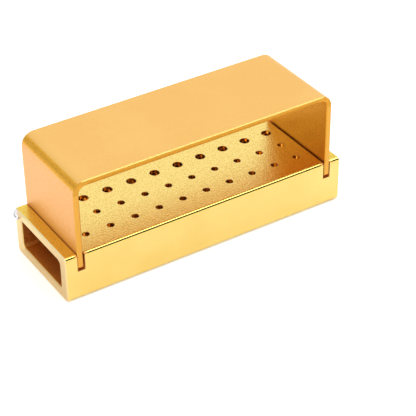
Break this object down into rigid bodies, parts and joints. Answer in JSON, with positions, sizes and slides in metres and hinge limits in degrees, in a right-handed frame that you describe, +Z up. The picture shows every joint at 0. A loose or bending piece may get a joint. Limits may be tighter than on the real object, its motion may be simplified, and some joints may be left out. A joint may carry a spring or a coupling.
{
  "type": "dental bur block",
  "caption": "Hollow drilled block that holds small dental burs upright, with an arched cover hinged at its rear edge.",
  "frame": {"origin": "centre of the base's underside, where the block stands", "axes": "+X along the block's length, -Y towards the open front edge opposite the hinge, +Z up"},
  "size_m": [0.0818, 0.0262, 0.033],
  "materials": {
    "base_anodised": "satin gold anodised",
    "cover_anodised": "matt gold anodised, blasted",
    "screw_steel": "turned stainless"
  },
  "bodies": {
    "base": {"base": "base_anodised", "left_hinge_screw": "screw_steel", "right_hinge_screw": "screw_steel"},
    "cover": {"cover": "cover_anodised"}
  },
  "joints": [
    {"name": "cover_hinge", "type": "hinge", "parent": "base", "child": "cover", "pos_m": [0, 0.0117, 0.0116], "axis": [-1, 0, 0], "range_deg": [0, 115]}
  ]
}
